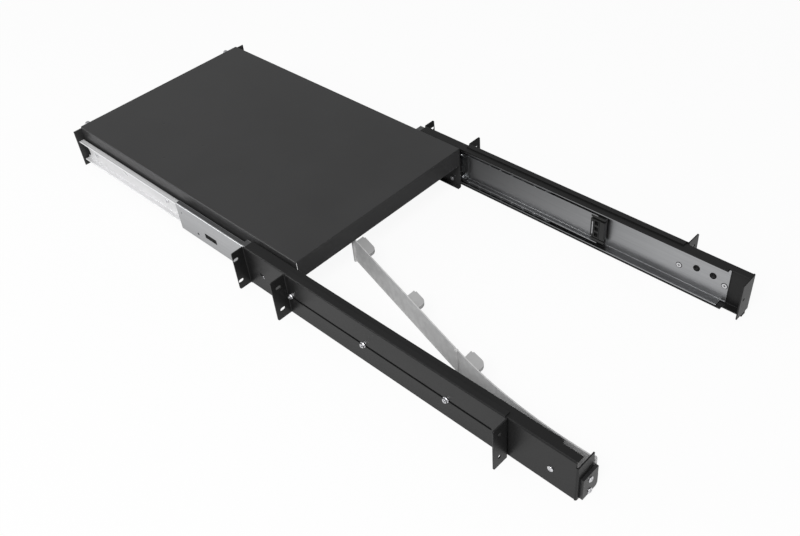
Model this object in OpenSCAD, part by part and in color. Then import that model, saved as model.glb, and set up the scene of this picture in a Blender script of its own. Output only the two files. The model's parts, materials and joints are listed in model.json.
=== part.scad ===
// Sliding shelf for a 19-inch rack, drawn pulled out to its full extension.
// x = 0 is the middle of the rack, y = 0 the face where the front ears meet the
// rack posts, z = 0 the centre line of the two slides. The front is towards -y.

/* [Rack] */
// Distance between the left and right columns of rack holes
rack_hole_span = 465.1; // [455:0.1:475]
// Height of one rack unit, which is the distance between the ear slots
rack_unit = 44.45; // [40:0.01:48]
// Height of the slots and diameter of the round holes in the ears
ear_hole_d = 6.5; // [5:0.1:8]
// Length of the slots in the ears
ear_slot_l = 10; // [9:0.1:12]

/* [Rail channels] */
// Width over the outer faces of the two channels
rail_span = 430.8; // [425:0.1:436]
// Length of a channel, from the ears' rear face to its rear flange
rail_l = 642; // [630:1:720]
// Thickness of the folded steel of channels and brackets
sheet = 2; // [1.6:0.1:2.4]
// Width of the channels' top and bottom lips over the web
rail_lip = 18.9; // [12:0.1:22]
// Length of the notch at the rear end of the lips
rail_notch_l = 34; // [10:1:60]
// Depth of that notch
rail_notch_d = 5.5; // [2:0.1:8]
// How far the front ears reach past the rack holes
front_ear_margin = 5.5; // [5.2:0.1:10]
// Width of the flange at the rear end, over the web
rear_flange_w = 34.6; // [28:0.1:40]
// Height of the flange at the rear end
rear_flange_h = 66; // [60:1:72]
// Space above and below the slide inside the channel
slide_room = 0.8; // [0.5:0.1:2]

/* [Adjustable brackets] */
// Place of the bracket's front ear behind the front rack face
bracket_y = 103.4; // [95:0.1:106]
// Length of the bracket between the rear faces of its ears
bracket_l = 431.2; // [415:0.1:450]
// Width of the bracket's top and bottom lips over the web
bracket_lip = 11; // [6:0.1:16]
// How far the bracket's ears reach past the rack holes
bracket_ear_margin = 12.5; // [8:0.1:16]
// Slip gap between bracket and channel
bracket_gap = 0.3; // [0.2:0.1:0.6]
// Diameter of the clamping studs
stud_d = 4; // [3:0.1:5]
// Clearance between the studs and the sides of their slot
stud_play = 0.2; // [0.1:0.05:0.5]
// Place of the first stud
stud_y = 110; // [110:0.5:114]
// Distance between the studs
stud_pitch = 160; // [140:1:164]
// Height of the studs above the slide's centre line
stud_z = -2.5; // [-8:0.5:8]
// Distance that the bracket moves forward along the channel
bracket_travel = 75; // [20:1:76]
// Diameter of the washers on the studs
washer_d = 10; // [8:0.1:11]
// Width of the nuts across their flats
nut_af = 7; // [6:0.1:8]
// Height of the nuts
nut_h = 3.2; // [2:0.1:4]

/* [Slides] */
// Height of the member that is fixed in the channel
slide_h = 72; // [66:0.5:80]
// Space that the slide takes between channel and tray
slide_t = 21.7; // [20.6:0.1:24]
// Steel thickness of the slide members
slide_wall = 1.8; // [1.4:0.1:2.2]
// Length of the fixed member and of the tray's member
slide_l = 618; // [600:1:620]
// Length of the intermediate member
mid_l = 581; // [520:1:600]
// How far the fixed member's front end stands ahead of the front ears
slide_front = 10; // [0:0.5:10]
// How far the intermediate member stands out at full extension
mid_out = 196; // [150:1:240]
// Lip width of the fixed member over its web
cabinet_lip = 15.9; // [14:0.1:17]
// Lip width of the intermediate member over its web
mid_lip = 9.6; // [8:0.1:10]
// Gap between the webs of the fixed and intermediate members
outer_cage_room = 2.7; // [2:0.1:3]
// Gap between the intermediate web and the lips of the tray's member
inner_cage_room = 2.1; // [1.8:0.1:2.6]
// Height of the pads pressed out of the tray's member towards the tray
pad_h = 3; // [1:0.1:4]
// Diameter of those pads
pad_d = 16; // [12:0.5:20]
// Diameter of the steel balls
ball_d = 6.35; // [5:0.05:7]
// Running clearance round a ball in its grooves
ball_play = 0.05; // [0.02:0.01:0.1]
// Depth of the grooves that the balls run in
groove_depth = 0.3; // [0.2:0.05:0.5]
// Steel thickness of the ball cages
cage_wall = 0.8; // [0.5:0.1:1]
// Length of the outer ball cages
outer_cage_l = 252; // [200:1:300]
// Place of the outer cages' rear end
outer_cage_end = 292; // [260:1:300]
// Length of the inner ball cages
inner_cage_l = 248; // [200:1:280]
// Place of the inner cages' rear end
inner_cage_end = 108; // [90:1:120]
// Distance between the balls of an outer cage
outer_pitch = 24.2; // [16:0.1:28]
// Balls in a row of an outer cage
outer_balls_n = 8; // [4:1:8]
// Distance between the balls of an inner cage
inner_pitch = 38; // [20:0.5:38]
// Balls in a row of an inner cage
inner_balls_n = 6; // [3:1:6]
// Length of the plastic stop block behind the intermediate member
stop_l = 26; // [20:1:36]
// Diameter of the fixing screws of the slides
slide_screw_d = 4; // [3:0.1:5]

/* [Tray] */
// Height of the tray's top above the slides' centre line
tray_top = 44.5; // [38:0.1:50]
// Depth of the tray from the front panel to the rear wall
tray_d = 624.2; // [600:0.1:640]
// How far the tray's front stands ahead of the front ears
tray_out = 521.8; // [500:0.1:540]
// Steel thickness of the tray
tray_wall = 1.5; // [1:0.1:2]
// Width of the inward lips under the tray's side walls
tray_lip = 7.7; // [5:0.1:12]
// Height of the rear wall
tray_rear_h = 36; // [20:0.5:36.5]
// Outside radius of the tray's bends
tray_bend = 2.5; // [2:0.1:4]
// Clearance of the tray above the surface that the brackets stand on
tray_lift = 0.5; // [0.3:0.1:1]
// Width of the front panel over its ears
panel_w = 415; // [395:0.5:422]
// Height of the panel's ears
panel_ear_h = 76; // [60:0.5:80]
// How far the ears' top lies below the tray's top
panel_ear_drop = 3.1; // [0:0.1:6]
// Thickness of the front panel
panel_t = 2; // [1.5:0.1:3]
// Diameter of the knobs on the panel
knob_d = 12; // [9:0.1:15]
// How far the knobs stand out
knob_l = 14; // [8:0.5:20]
// Distance between the knobs
knob_span = 340; // [300:1:350]
// Depth of the knobs' centres below the tray's top
knob_drop = 10; // [9.5:0.1:14]

/* [Cable arm] */
// Height of the arm's two links
arm_h = 48; // [40:0.5:48]
// Thickness of the links
arm_t = 2; // [1.5:0.1:2.5]
// Height of the links' top edge above the slides' centre line
arm_top = 8; // [4:0.1:8]
// Length of the rear link between its pivots
rear_link_l = 252.9; // [240:0.1:260]
// Angle of the line through its pivots to the rails, at full extension
rear_link_angle = 6.2; // [5:0.1:8]
// Length of the rear link's straight part, next to the rail
rear_straight_l = 27.4; // [15:0.1:60]
// Length of the front link between its pivots
front_link_l = 302.5; // [290:0.1:310]
// Angle of the front link to the rails, at full extension
front_link_angle = 15.15; // [12:0.05:16]
// Diameter of the arm's hinge pins
arm_pin_d = 3; // [2.5:0.1:3.5]
// Running clearance round a hinge pin
arm_pin_play = 0.05; // [0.02:0.01:0.1]
// Outside diameter of the hinge knuckles
knuckle_d = 6; // [5.5:0.1:7]
// Length of a cable clip along its link
clip_l = 31; // [24:0.5:34]
// Length of the clip nearest to the tray
long_clip_l = 40; // [24:0.5:42]
// Depth of a cable clip away from its link
clip_deep = 16; // [12:0.5:20]
// Thickness of a cable clip
clip_t = 1.4; // [1:0.1:2]
// Height of the clips' upper rim and of their lower rim
clip_rims = [6, 10];
// How far the beak at a clip's front corner points out
clip_beak = 4; // [2:0.1:6]
// Distance of the middle clip and of the clip near the tray from the elbow
front_clips = [120.5, 274];
// Distance of the rear link's clip from the elbow
rear_clip_back = 33; // [26:0.5:60]
// Width of the hinge plate on the right channel's rear flange
hinge_plate_w = 31.5; // [28:0.5:34]
// Height of the hinge plate
hinge_plate_h = 39.5; // [36:0.5:42]
// Thickness of the hinge plate
hinge_plate_t = 5; // [3:0.1:6]
// Diameter of the hinge plate's two screws
plate_screw_d = 5; // [4:0.1:5.5]
// Distance between the hinge plate's two screws
plate_screw_pitch = 24; // [18:0.5:26]

/* [Hidden] */
// Facets of the round shapes
fine = 48;
// Clearance between pieces that slide past each other
gap = 0.3;
// Clearance round screws in their holes
seat_gap = 0.1;
// Clearance of a nut's hole over its screw
nut_hole_play = 0.2;
// Extra length of the shapes that are taken away
cut = 1;

// Faces of the channels and brackets, on the right-hand side
rail_x = rail_span / 2;
rail_in = rail_x - sheet;
rail_h = slide_h + 2 * (slide_room + sheet);
bend_inner = 1;
rail_bend = sheet + bend_inner;
ear_bend = sheet / 2;
rail_ear_step = 1;
rail_ear_h = rail_h - 2 * rail_ear_step;
rear_flange_step = 0.3;
web_slot_y = 35;
web_slot_z = -1.5;
web_slot_depth = 1.2;
ear_corner = 3;
small_hole_d = 5;
flange_hole_in = 9;
flange_hole_z = 7;
rack_x = rack_hole_span / 2;
bracket_in = rail_x + bracket_gap;
bracket_x = bracket_in + sheet;
bracket_h = rail_h + 2 * (bracket_gap + sheet);
bracket_ear_step = 1.6;
bracket_ear_h = bracket_h - 2 * bracket_ear_step;
bracket_end = bracket_y + bracket_l;
stud_last = stud_y + 2 * stud_pitch;
stud_slot_spare = 2;
stud_tip = 1.2;
stud_head_d = 7.2;
stud_head_t = 1.2;
washer_t = 1;
stud_out = bracket_x + seat_gap + washer_t + nut_h + stud_tip;

// Sections of the slides
cabinet_x = rail_in;
cabinet_in = cabinet_x - slide_wall;
mid_x = cabinet_in - outer_cage_room;
mid_in = mid_x - slide_wall;
tray_x = rail_in - slide_t;
member_in = tray_x + pad_h;
member_out = mid_in - inner_cage_room;
ball_gap = ball_d + 2 * ball_play - 2 * groove_depth;
cabinet_z = slide_h / 2 - slide_wall;
mid_z = cabinet_z - ball_gap;
mid_h = 2 * mid_z;
member_z = mid_z - slide_wall - ball_gap;
member_h = 2 * member_z;
outer_ball_z = cabinet_z - ball_gap / 2;
inner_ball_z = member_z + ball_gap / 2;
outer_ball_in = 9.4;
inner_ball_in = 3.1;
outer_ball_x = cabinet_x - outer_ball_in;
inner_ball_x = member_out - inner_ball_in;
outer_cage_x = mid_x + outer_cage_room / 2 + cage_wall / 2;
inner_cage_x = mid_in - inner_cage_room / 2 + cage_wall / 2;
cage_edge = 1;
slide_bend = slide_wall + 0.5;
cage_bend = cage_wall + 0.4;
cabinet_y0 = -slide_front;
mid_y0 = -mid_out;
mid_y1 = mid_l - mid_out;
member_setback = 3.8;
member_y0 = -tray_out + member_setback;
member_y1 = member_y0 + slide_l;
outer_cage_tail = 10.6;
inner_cage_tail = 10;
outer_first = outer_cage_end - outer_cage_tail - (outer_balls_n - 1) * outer_pitch;
inner_first = inner_cage_end - inner_cage_tail - (inner_balls_n - 1) * inner_pitch;

// Holes, notches and windows in the slide members
cabinet_notch_l = 8;
cabinet_hole_back = [26, 53.5];
cabinet_hole_z = 3.5;
cabinet_hole_d = 6.5;
window_ahead = [73, 105];
window_z = [-11.5, -1.5];
mid_hole_ahead = 51;
mid_hole_z = -14.5;
mid_pip_ahead = 12;
mid_pip_z = 12;
mid_pip_d = 3;
member_notch_d = 22;
member_notch_z = -4;

// Stop block on the intermediate member
stop_overlap = 13;
stop_lip_inset = 1;
stop_y0 = mid_y1 - stop_overlap;
member_path = 0.6;

// Screws of the slides
head_d = 9;
head_h = 2.2;
head_top = 0.62;
slide_screw_y = [40, 526, 602];
slide_screw_z = -5.5;
tray_pad_front = 38;
tray_pad_middle = 270;
tray_pad_back = 15;
tray_pad_y = [member_y0 + tray_pad_front, member_y0 + tray_pad_middle, member_y1 - tray_pad_back];
tray_tab_z = -26;
tray_tab_w = 16;
tray_tab_end = 6;
// Each fixing of the tray: its y, its z and the face that the screw's head sits on
tray_fixings = [
  [tray_pad_y[0], 0, member_in + slide_wall],
  [tray_pad_y[1], 0, member_in + slide_wall],
  [tray_pad_y[2], tray_tab_z, tray_x + slide_wall]
];

// Faces of the tray
tray_y0 = -tray_out;
tray_y1 = tray_y0 + tray_d;
tray_bottom = -bracket_h / 2 + tray_lift;
side_wall_gap = 0.4;
panel_y0 = tray_y0 - panel_t;
panel_notch_x = tray_x - 2;
knob_screw_d = 4;
knob_neck = 0.3;
knob_neck_d = 0.65;
knob_bore = 0.7;

// Places of the arm's pivots
hinge_past_flange = 5.8;
knuckle_gap = 0.4;
hinge_x = rail_x - rear_flange_w - hinge_past_flange;
hinge_y = rail_l - knuckle_d / 2 + knuckle_gap;
elbow = [hinge_x, hinge_y] + rear_link_l * link_dir(rear_link_angle);
tray_pivot = elbow + front_link_l * link_dir(front_link_angle);
arm_bottom = arm_top - arm_h;
arm_middle = arm_top - arm_h / 2;
arm_offset = 0.5;
strip_back = arm_offset + arm_t;
knuckle_neck = knuckle_d / 2 + 3;
neck_inset = 0.2;
strip_start = knuckle_d / 2 + 1.5;

// Bow of the rear link: an arc from its straight part to the elbow, where the
// strip stands beside the pivot
bow_y = hinge_y - rear_straight_l;
bow_run = bow_y - elbow[1];
bow_drop = hinge_x - elbow[0] + strip_back - arm_t / 2;
bow_angle = 2 * atan(bow_drop / bow_run);
bow_r = bow_run / sin(bow_angle);
bow_x = hinge_x - bow_r;
arc_fine = 8 * fine;

// Clips, pins and the plate of the arm's hinge
clip_drop = 0.6;
clip_lift = 3;
clip_corner = 13;
pin_head_d = arm_pin_d + 2;
pin_head_t = 1.1;
pin_tip = 0.6;
plate_r = 5;
plate_past_hinge = 2;
plate_x = hinge_x + plate_past_hinge;
plate_lift = 2;
plate_bottom = tray_bottom + plate_lift;
plate_screw_x = plate_x + hinge_plate_w / 2 + 1;
plate_screw_z = plate_bottom + 5;
plate_nut_af = nut_af + 1;
screw_tip = 1.5;
post_gap = 0.5;
post_plate_t = 2;
post_plate_low = [-14, -24];
post_plate_high = [14, 4];

// Direction of an arm link that leans from -y towards -x by an angle
function link_dir(angle) = [-sin(angle), -cos(angle)];

// Shapes shared by several pieces

// Runs an outline drawn in x and z from y0 to y1
module along_y(y0, y1) {
  translate([0, y1, 0]) rotate([90, 0, 0]) linear_extrude(y1 - y0) children();
}

// Block between two corners
module block(low, high) {
  translate(low) cube(high - low);
}

// Rod along x, y or z
module rod_x(d, x0, x1) {
  translate([x0, 0, 0]) rotate([0, 90, 0]) cylinder(d = d, h = x1 - x0, $fn = fine);
}
module rod_y(d, y0, y1) {
  translate([0, y1, 0]) rotate([90, 0, 0]) cylinder(d = d, h = y1 - y0, $fn = fine);
}
module rod_z(d, z0, z1) {
  translate([0, 0, z0]) cylinder(d = d, h = z1 - z0, $fn = fine);
}

// Rectangle from x = -depth to 0 with its two corners at x = 0 rounded
module web_outline(depth, height, r) {
  translate([-depth, -height / 2]) square([depth - r, height]);
  translate([-depth, -height / 2 + r]) square([depth, height - 2 * r]);
  for (s = [-1, 1])
    translate([-r, s * (height / 2 - r)]) circle(r = r, $fn = fine);
}

// C-section: web at x = 0, two lips towards -x, open at x = -depth
module c_outline(depth, height, wall, bend) {
  difference() {
    web_outline(depth, height, bend);
    translate([-wall, 0]) web_outline(depth, height - 2 * wall, bend - wall);
  }
}

// Draws the left-hand piece as a mirror image of the right-hand one
module side(s) {
  if (s > 0) children();
  else mirror([1, 0, 0]) children();
}

// Quarter-round bend seen from above, from the web's plane into the ear's plane
module bend_quarter(x, y, qx, qy, wall, inner) {
  translate([x, y])
    difference() {
      circle(r = inner + wall, $fn = fine);
      circle(r = inner, $fn = fine);
      translate([qx > 0 ? -2 * wall - inner : 0, -4 * wall]) square([2 * wall + inner, 8 * wall]);
      translate([-4 * wall, qy > 0 ? -2 * wall - inner : 0]) square([8 * wall, 2 * wall + inner]);
    }
}

// Two holes or slots of an ear, one rack unit apart, through the sheet at y
module ear_holes(y, slot_l) {
  for (s = [-1, 1])
    translate([rack_x, 0, s * rack_unit / 2]) {
      for (e = [-1, 1])
        translate([e * (slot_l - ear_hole_d) / 2, 0, 0]) rod_y(ear_hole_d, y - sheet - cut, y + cut);
      if (slot_l > ear_hole_d)
        block([-(slot_l - ear_hole_d) / 2, y - sheet - cut, -ear_hole_d / 2],
              [(slot_l - ear_hole_d) / 2, y + cut, ear_hole_d / 2]);
    }
}

// Ear bent outward from a web, with its rear face at y; dir is +1 at a front end
module bent_ear(web_out, y, reach, height, dir) {
  bend_x = web_out + ear_bend;
  bend_y = dir > 0 ? y + ear_bend : y - sheet - ear_bend;
  intersection() {
    translate([0, 0, -height / 2]) linear_extrude(height) {
      translate([bend_x, y - sheet]) square([reach - bend_x, sheet]);
      bend_quarter(bend_x, bend_y, -1, -dir, sheet, ear_bend);
    }
    translate([reach, 0, 0]) along_y(y - 2 * sheet, y + sheet) web_outline(2 * reach, height, ear_corner);
  }
}

// Screw head with a bevelled rim, on the face at x, pointing towards +x
module head_x(d, h, x) {
  translate([x, 0, 0]) rotate([0, 90, 0]) {
    cylinder(d = d, h = h / 2, $fn = fine);
    translate([0, 0, h / 2]) cylinder(d1 = d, d2 = d * head_top, h = h / 2, $fn = fine);
  }
}

// Hexagon nut with its hole, from x0 to x0 + h
module nut_x(af, h, hole, x0) {
  translate([x0, 0, 0]) rotate([0, 90, 0])
    difference() {
      cylinder(d = af / cos(30), h = h, $fn = 6);
      translate([0, 0, -cut]) cylinder(d = hole, h = h + 2 * cut, $fn = fine);
    }
}

// Rail channels

module channel(s, flip) {
  web_y0 = ear_bend;
  web_y1 = rail_l - rail_bend;
  pocket_x = rail_x - web_slot_depth;
  flange_z = flip * (rail_h / 2 - rear_flange_step - rear_flange_h / 2);
  color([0.14, 0.14, 0.15]) side(s) difference() {
    union() {
      translate([rail_x, 0, 0]) along_y(rail_bend, web_y1) c_outline(rail_lip, rail_h, sheet, rail_bend);
      translate([rail_x, 0, 0]) along_y(web_y1, rail_l - sheet)
        difference() {
          c_outline(rail_lip, rail_h, sheet, rail_bend);
          translate([-rail_bend, -rail_h]) square([2 * rail_bend, 2 * rail_h]);
        }
      block([rail_in, web_y0, -rail_ear_h / 2], [rail_x, rail_bend, rail_ear_h / 2]);
      bent_ear(rail_x, 0, rack_x + front_ear_margin, rail_ear_h, 1);
      translate([0, 0, flange_z - rear_flange_h / 2]) linear_extrude(rear_flange_h) {
        translate([rail_x - rear_flange_w, rail_l - sheet]) square([rear_flange_w - rail_bend, sheet]);
        bend_quarter(rail_x - rail_bend, rail_l - rail_bend, 1, 1, sheet, rail_bend - sheet);
      }
    }
    for (e = [-1, 1])
      block([rail_x - rail_lip - cut, rail_l - rail_notch_l, e * rail_h / 2 - sheet - cut],
            [rail_x - rail_lip + rail_notch_d, rail_l - sheet, e * rail_h / 2 + sheet + cut]);
    ear_holes(0, ear_slot_l);
    stud_holes();
    slide_screw_holes(rail_in, rail_x);
    translate([0, web_slot_y, web_slot_z]) {
      rod_x(small_hole_d, pocket_x, rail_x + cut);
      translate([0, small_hole_d, 0]) rod_x(small_hole_d, pocket_x, rail_x + cut);
      block([pocket_x, 0, -small_hole_d / 2], [rail_x + cut, small_hole_d, small_hole_d / 2]);
    }
    translate([rail_x - rear_flange_w + flange_hole_in, 0, flange_hole_z])
      rod_y(small_hole_d, rail_l - sheet - cut, rail_l + cut);
    if (s > 0) plate_screw_holes(rail_l - sheet, rail_l);
  }
}
module channel_right() { channel(1, -1); }
module channel_left() { channel(-1, 1); }

module stud_holes() {
  for (i = [0:2])
    translate([0, stud_y + i * stud_pitch, stud_z]) {
      rod_x(stud_d + 2 * seat_gap, rail_in - cut, rail_x + cut);
      rod_x(stud_head_d + 2 * seat_gap, rail_in - cut, rail_in + stud_head_t);
    }
}

module slide_screw_holes(x0, x1) {
  for (y = slide_screw_y)
    translate([0, y, slide_screw_z]) rod_x(slide_screw_d + 2 * seat_gap, x0 - cut, x1 + cut);
}

module plate_screw_holes(y0, y1) {
  for (i = [0:1])
    translate([plate_screw_x, 0, plate_screw_z + i * plate_screw_pitch])
      rod_y(plate_screw_d + 2 * seat_gap, y0 - cut, y1 + cut);
}

// Adjustable brackets

module adjustable_bracket(s) {
  web_y0 = bracket_y + ear_bend;
  web_y1 = bracket_end - sheet - ear_bend;
  color([0.12, 0.12, 0.13]) side(s) difference() {
    union() {
      translate([bracket_x, 0, 0])
        along_y(web_y0 + 1, web_y1 - 1) c_outline(bracket_lip, bracket_h, sheet, rail_bend);
      block([bracket_in, web_y0, -bracket_ear_h / 2], [bracket_x, web_y1, bracket_ear_h / 2]);
      bent_ear(bracket_x, bracket_y, rack_x + bracket_ear_margin, bracket_ear_h, 1);
      bent_ear(bracket_x, bracket_end, rack_x + bracket_ear_margin, bracket_ear_h, -1);
    }
    ear_holes(bracket_y, ear_slot_l);
    ear_holes(bracket_end, ear_hole_d);
    stud_slot();
  }
}
module adjustable_bracket_right() { adjustable_bracket(1); }
module adjustable_bracket_left() { adjustable_bracket(-1); }

// Long slot that the studs stand in, with room for the bracket's travel
module stud_slot() {
  slot_d = stud_d + 2 * stud_play;
  y1 = stud_last + bracket_travel + stud_slot_spare;
  for (y = [stud_y, y1])
    translate([0, y, stud_z]) rod_x(slot_d, bracket_in - cut, bracket_x + cut);
  block([bracket_in - cut, stud_y, stud_z - slot_d / 2], [bracket_x + cut, y1, stud_z + slot_d / 2]);
}

module each_stud(s) {
  side(s) for (i = [0:2]) translate([0, stud_y + i * stud_pitch, stud_z]) children();
}

module bracket_studs(s) {
  color([0.75, 0.76, 0.78]) each_stud(s) {
    rod_x(stud_head_d, rail_in, rail_in + stud_head_t);
    rod_x(stud_d, rail_in, stud_out);
  }
}
module bracket_studs_right() { bracket_studs(1); }
module bracket_studs_left() { bracket_studs(-1); }

module bracket_washers(s) {
  color([0.8, 0.81, 0.83]) each_stud(s) difference() {
    rod_x(washer_d, bracket_x + seat_gap, bracket_x + seat_gap + washer_t);
    rod_x(stud_d + 2 * seat_gap, bracket_x, bracket_x + sheet + cut);
  }
}
module bracket_washers_right() { bracket_washers(1); }
module bracket_washers_left() { bracket_washers(-1); }

module bracket_nuts(s) {
  color([0.8, 0.81, 0.83]) each_stud(s)
    nut_x(nut_af, nut_h, stud_d + seat_gap, bracket_x + seat_gap + washer_t);
}
module bracket_nuts_right() { bracket_nuts(1); }
module bracket_nuts_left() { bracket_nuts(-1); }

// Slides

// Ball grooves along a member, as rods to take away
module ball_path(x, z, y0, y1) {
  for (e = [-1, 1])
    translate([x, 0, e * z]) rod_y(ball_d + 2 * ball_play, y0 - cut, y1 + cut);
}

module cabinet_member(s) {
  y0 = cabinet_y0;
  y1 = cabinet_y0 + slide_l;
  color([0.72, 0.73, 0.75]) side(s) difference() {
    translate([cabinet_x, 0, 0]) along_y(y0, y1) c_outline(cabinet_lip, slide_h, slide_wall, slide_bend);
    ball_path(outer_ball_x, outer_ball_z, y0, y1);
    slide_screw_holes(cabinet_in, cabinet_x);
    block([cabinet_x - cabinet_lip - cut, y1 - cabinet_notch_l, -slide_h],
          [cabinet_in - cut, y1 + cut, -slide_h / 2 + 2 * slide_bend]);
    for (back = cabinet_hole_back)
      translate([0, y1 - back, cabinet_hole_z]) rod_x(cabinet_hole_d, cabinet_in - cut, cabinet_x + cut);
  }
}
module cabinet_member_right() { cabinet_member(1); }
module cabinet_member_left() { cabinet_member(-1); }

// The rearmost screw has a pan head outside the channel, the others end flush
module slide_screws(s) {
  color([0.8, 0.81, 0.83]) side(s) for (y = slide_screw_y)
    translate([0, y, slide_screw_z]) {
      rod_x(slide_screw_d, cabinet_in, rail_x);
      if (y > bracket_end + head_d) head_x(head_d, head_h, rail_x);
    }
}
module slide_screws_right() { slide_screws(1); }
module slide_screws_left() { slide_screws(-1); }

module intermediate_member(s) {
  color([0.74, 0.75, 0.77]) side(s) difference() {
    translate([mid_x, 0, 0]) along_y(mid_y0, mid_y1) c_outline(mid_lip, mid_h, slide_wall, slide_bend);
    ball_path(outer_ball_x, outer_ball_z, mid_y0, mid_y1);
    ball_path(inner_ball_x, inner_ball_z, mid_y0, mid_y1);
    block([mid_in - cut, mid_y0 + window_ahead[0], window_z[0]],
          [mid_x + cut, mid_y0 + window_ahead[1], window_z[1]]);
    translate([0, mid_y0 + mid_hole_ahead, mid_hole_z]) rod_x(small_hole_d, mid_in - cut, mid_x + cut);
    translate([0, mid_y0 + mid_pip_ahead, mid_pip_z]) rod_x(mid_pip_d, mid_in - cut, mid_x + cut);
  }
}
module intermediate_member_right() { intermediate_member(1); }
module intermediate_member_left() { intermediate_member(-1); }

// Plastic block on the rear end of the intermediate member, grooved so that
// the lips of the tray's member pass through it
module stop_block(s) {
  y1 = stop_y0 + stop_l;
  half = mid_z - slide_wall - groove_depth - gap;
  slot = member_z - slide_wall - member_path;
  color([0.08, 0.08, 0.08]) side(s) {
    block([member_out + member_path, stop_y0, -half], [mid_in, y1, half]);
    block([member_in + slide_wall + head_h + member_path, stop_y0, -slot], [mid_in, y1, slot]);
    for (e = [-1, 1])
      block([mid_x - mid_lip + stop_lip_inset, stop_y0, min(e * half, e * (member_z + member_path))],
            [mid_in, y1, max(e * half, e * (member_z + member_path))]);
  }
}
module stop_block_right() { stop_block(1); }
module stop_block_left() { stop_block(-1); }

module ball_cage(s, x, ball_x, ball_z, y0, y1, first, pitch, count) {
  hole = ball_d + gap;
  depth = x - ball_x + hole / 2 + cage_edge;
  color([0.6, 0.61, 0.62]) side(s) difference() {
    translate([x, 0, 0]) along_y(y0, y1) c_outline(depth, 2 * ball_z + cage_wall, cage_wall, cage_bend);
    for (i = [0:count - 1], e = [-1, 1])
      translate([ball_x, first + i * pitch, 0]) rod_z(hole, e * ball_z - cage_wall, e * ball_z + cage_wall);
  }
}

module ball_rows(s, x, z, first, pitch, count) {
  color([0.9, 0.9, 0.92]) side(s) for (i = [0:count - 1], e = [-1, 1])
    translate([x, first + i * pitch, e * z]) sphere(d = ball_d, $fn = fine);
}

module outer_cage(s) {
  ball_cage(s, outer_cage_x, outer_ball_x, outer_ball_z, outer_cage_end - outer_cage_l, outer_cage_end,
            outer_first, outer_pitch, outer_balls_n);
}
module outer_cage_right() { outer_cage(1); }
module outer_cage_left() { outer_cage(-1); }
module outer_balls(s) {
  ball_rows(s, outer_ball_x, outer_ball_z, outer_first, outer_pitch, outer_balls_n);
}
module outer_balls_right() { outer_balls(1); }
module outer_balls_left() { outer_balls(-1); }

module inner_cage(s) {
  ball_cage(s, inner_cage_x, inner_ball_x, inner_ball_z, inner_cage_end - inner_cage_l, inner_cage_end,
            inner_first, inner_pitch, inner_balls_n);
}
module inner_cage_right() { inner_cage(1); }
module inner_cage_left() { inner_cage(-1); }
module inner_balls(s) {
  ball_rows(s, inner_ball_x, inner_ball_z, inner_first, inner_pitch, inner_balls_n);
}
module inner_balls_right() { inner_balls(1); }
module inner_balls_left() { inner_balls(-1); }

// The tray's member opens outward and stands on pads against the tray's wall;
// a tab that goes down from the rear pad takes the rearmost screw
module tray_member(s) {
  depth = member_out - member_in;
  color([0.8, 0.81, 0.83]) side(s) difference() {
    union() {
      translate([member_in, 0, 0]) mirror([1, 0, 0])
        along_y(member_y0, member_y1) c_outline(depth, member_h, slide_wall, slide_bend);
      for (y = tray_pad_y) translate([0, y, 0]) rod_x(pad_d, tray_x, member_in + slide_wall / 2);
      block([tray_x, tray_pad_y[2] - tray_tab_w / 2, tray_tab_z - tray_tab_end],
            [tray_x + slide_wall, tray_pad_y[2] + tray_tab_w / 2, 0]);
    }
    ball_path(inner_ball_x, inner_ball_z, member_y0, member_y1);
    tray_screw_holes(tray_x, member_in + slide_wall);
    translate([0, member_y0, member_notch_z])
      rod_x(member_notch_d, member_in - cut, member_in + slide_wall + cut);
  }
}
module tray_member_right() { tray_member(1); }
module tray_member_left() { tray_member(-1); }

module tray_screw_holes(x0, x1) {
  for (f = tray_fixings)
    translate([0, f[0], f[1]]) rod_x(slide_screw_d + 2 * seat_gap, x0 - cut, x1 + cut);
}

module tray_screws(s) {
  color([0.8, 0.81, 0.83]) side(s) for (f = tray_fixings)
    translate([0, f[0], f[1]]) {
      rod_x(slide_screw_d, tray_x - tray_wall - nut_h - screw_tip, f[2]);
      head_x(head_d, head_h, f[2]);
    }
}
module tray_screws_right() { tray_screws(1); }
module tray_screws_left() { tray_screws(-1); }

module tray_nuts(s) {
  color([0.8, 0.81, 0.83]) side(s) for (f = tray_fixings)
    translate([0, f[0], f[1]])
      nut_x(nut_af, nut_h, slide_screw_d + nut_hole_play, tray_x - tray_wall - nut_h);
}
module tray_nuts_right() { tray_nuts(1); }
module tray_nuts_left() { tray_nuts(-1); }

// Tray

// Half of the tray's section: top, side wall and the lip under it
module tray_half() {
  height = tray_top - tray_bottom;
  translate([tray_x, (tray_top + tray_bottom) / 2]) difference() {
    c_outline(tray_x, height, tray_wall, tray_bend);
    translate([-2 * tray_x, -height]) square([2 * tray_x - tray_lip, height]);
  }
}

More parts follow.
